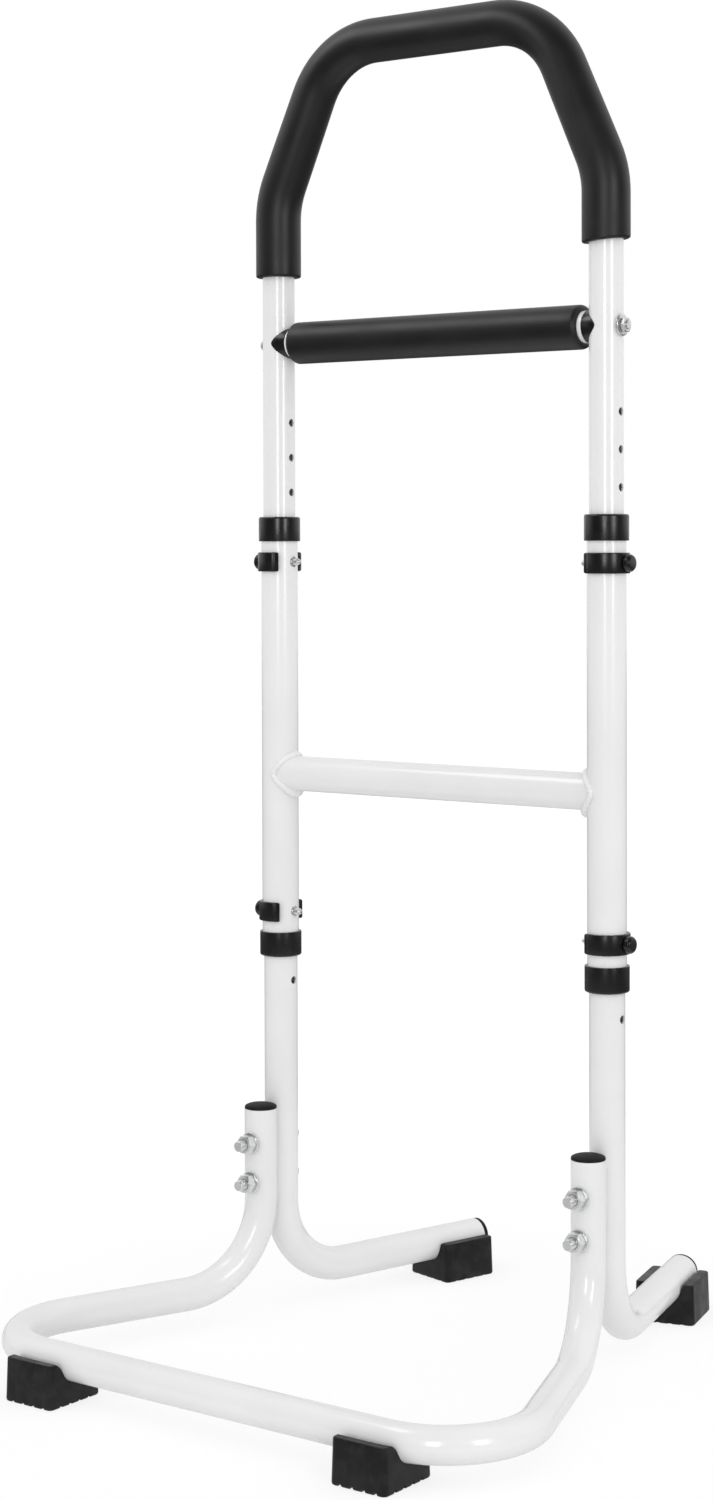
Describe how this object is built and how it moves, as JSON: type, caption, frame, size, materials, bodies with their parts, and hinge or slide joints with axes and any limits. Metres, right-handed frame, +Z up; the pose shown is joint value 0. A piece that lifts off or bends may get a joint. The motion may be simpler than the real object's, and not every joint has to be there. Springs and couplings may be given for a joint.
{
  "type": "toilet safety frame",
  "caption": "Free-standing stand-assist rail: white tube frame with telescoping legs, pinned snap clips, padded top grip and cross handle, splayed base with rubber feet.",
  "frame": {"origin": "on the floor, under the middle of the bounding box", "axes": "+Z up, X across the rail from its left leg to its right one, -Y towards the open front of the base"},
  "size_m": [0.4492, 0.4924, 0.9997],
  "materials": {
    "white_powder_coat": "gloss powder coat",
    "black_foam": "matte closed-cell foam",
    "black_plastic": "moulded, satin",
    "black_rubber": "moulded, matte",
    "zinc_plate": "zinc plated"
  },
  "bodies": {
    "base": {"front_base_tube": "white_powder_coat", "rear_leg_left": "white_powder_coat", "rear_leg_right": "white_powder_coat", "stub_plug_left": "black_plastic", "stub_plug_right": "black_plastic", "rear_plug_left": "black_plastic", "rear_plug_right": "black_plastic", "front_foot_left": "black_rubber", "front_foot_right": "black_rubber", "rear_foot_left": "black_rubber", "rear_foot_right": "black_rubber", "base_lower_left_bolt": "zinc_plate", "base_lower_left_nut": "zinc_plate", "base_lower_left_washer": "zinc_plate", "base_lower_right_bolt": "zinc_plate", "base_lower_right_nut": "zinc_plate", "base_lower_right_washer": "zinc_plate", "base_upper_left_bolt": "zinc_plate", "base_upper_left_nut": "zinc_plate", "base_upper_left_washer": "zinc_plate", "base_upper_right_bolt": "zinc_plate", "base_upper_right_nut": "zinc_plate", "base_upper_right_washer": "zinc_plate"},
    "middle_frame": {"frame_crossbar": "white_powder_coat", "post_left": "white_powder_coat", "post_right": "white_powder_coat", "collar_lower_left": "black_plastic", "collar_lower_right": "black_plastic", "collar_upper_left": "black_plastic", "collar_upper_right": "black_plastic"},
    "handle": {"upper_handle_tube": "white_powder_coat", "cross_handle_tube": "white_powder_coat", "top_foam_grip": "black_foam", "cross_foam_grip": "black_foam", "cross_end_cap_left": "black_plastic", "cross_end_cap_right": "black_plastic", "cross_tie_bolt": "zinc_plate", "cross_tie_nut": "zinc_plate", "cross_tie_washer": "zinc_plate"},
    "clip_lower_left": {"clip_band_lower_left": "black_plastic", "clip_knob_lower_left": "black_plastic", "clip_pin_lower_left": "zinc_plate"},
    "clip_lower_right": {"clip_band_lower_right": "black_plastic", "clip_knob_lower_right": "black_plastic", "clip_pin_lower_right": "zinc_plate"},
    "clip_upper_left": {"clip_band_upper_left": "black_plastic", "clip_knob_upper_left": "black_plastic", "clip_pin_upper_left": "zinc_plate"},
    "clip_upper_right": {"clip_band_upper_right": "black_plastic", "clip_knob_upper_right": "black_plastic", "clip_pin_upper_right": "zinc_plate"}
  },
  "joints": [
    {"name": "frame_height", "type": "slide", "parent": "base", "child": "middle_frame", "axis": [0, 0, 1], "range_m": [-0.054, 0]},
    {"name": "handle_height", "type": "slide", "parent": "middle_frame", "child": "handle", "axis": [0, 0, 1], "range_m": [-0.108, 0]},
    {"name": "clip_lower_left_pull", "type": "slide", "parent": "middle_frame", "child": "clip_lower_left", "axis": [-1, 0, 0], "range_m": [0, 0.045], "deforming": ["clip_band_lower_left", "clip_pin_lower_left"]},
    {"name": "clip_lower_right_pull", "type": "slide", "parent": "middle_frame", "child": "clip_lower_right", "axis": [1, 0, 0], "range_m": [0, 0.045], "deforming": ["clip_band_lower_right", "clip_pin_lower_right"]},
    {"name": "clip_upper_left_pull", "type": "slide", "parent": "middle_frame", "child": "clip_upper_left", "axis": [-1, 0, 0], "range_m": [0, 0.045], "deforming": ["clip_band_upper_left", "clip_pin_upper_left"]},
    {"name": "clip_upper_right_pull", "type": "slide", "parent": "middle_frame", "child": "clip_upper_right", "axis": [1, 0, 0], "range_m": [0, 0.045], "deforming": ["clip_band_upper_right", "clip_pin_upper_right"]}
  ]
}
